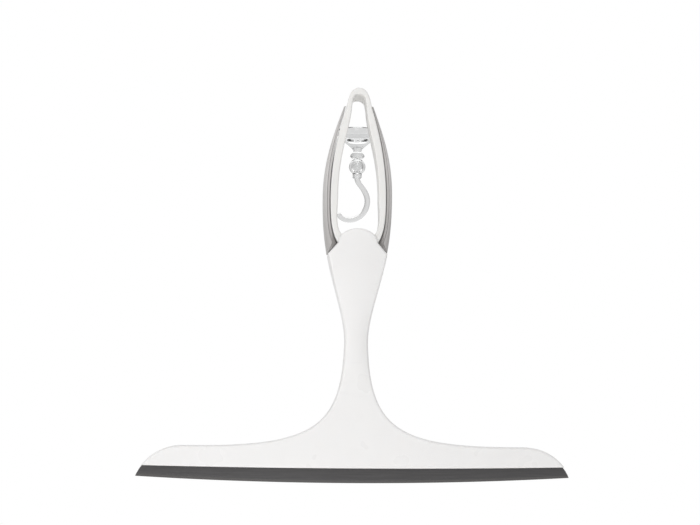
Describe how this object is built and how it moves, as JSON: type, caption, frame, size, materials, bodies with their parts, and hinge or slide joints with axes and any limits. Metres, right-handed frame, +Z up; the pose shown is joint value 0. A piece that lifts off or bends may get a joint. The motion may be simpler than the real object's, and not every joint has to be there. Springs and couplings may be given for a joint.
{
  "type": "window squeegee",
  "caption": "Window squeegee with a T-shaped handle, a leaf-shaped hanging loop with soft side grips, a rubber wiping blade and a clear suction-cup hook.",
  "frame": {"origin": "the place where the tool hangs: top of the loop's opening, middle of the ring's depth", "axes": "+X along the blade to the right, -Y is the front, +Z up the handle"},
  "size_m": [0.2456, 0.0488, 0.2267],
  "materials": {
    "white_plastic": "satin, slightly frosted",
    "cream_plastic": "satin",
    "grey_grip": "soft matte",
    "dark_rubber": "matte",
    "clear_soft": "clear soft plastic",
    "clear_hard": "clear rigid plastic"
  },
  "bodies": {
    "squeegee": {"squeegee_body": "white_plastic", "loop_ring": "cream_plastic", "grip_left": "grey_grip", "grip_right": "grey_grip"},
    "blade": {"wiper_blade": "dark_rubber"},
    "suction_cup": {"suction_cup": "clear_soft"},
    "hook": {"hook": "clear_hard"}
  },
  "joints": [
    {"name": "blade_slide", "type": "slide", "parent": "squeegee", "child": "blade", "axis": [1, 0, 0], "range_m": [0, 0.25]},
    {"name": "hook_set_lift_off", "type": "slide", "parent": "squeegee", "child": "suction_cup", "axis": [0, 1, 0], "range_m": [0, 0.08]},
    {"name": "hook_swivel", "type": "hinge", "parent": "suction_cup", "child": "hook", "pos_m": [0.0016, 0.0245, -0.036], "axis": [0, 0, 1], "continuous": true}
  ]
}
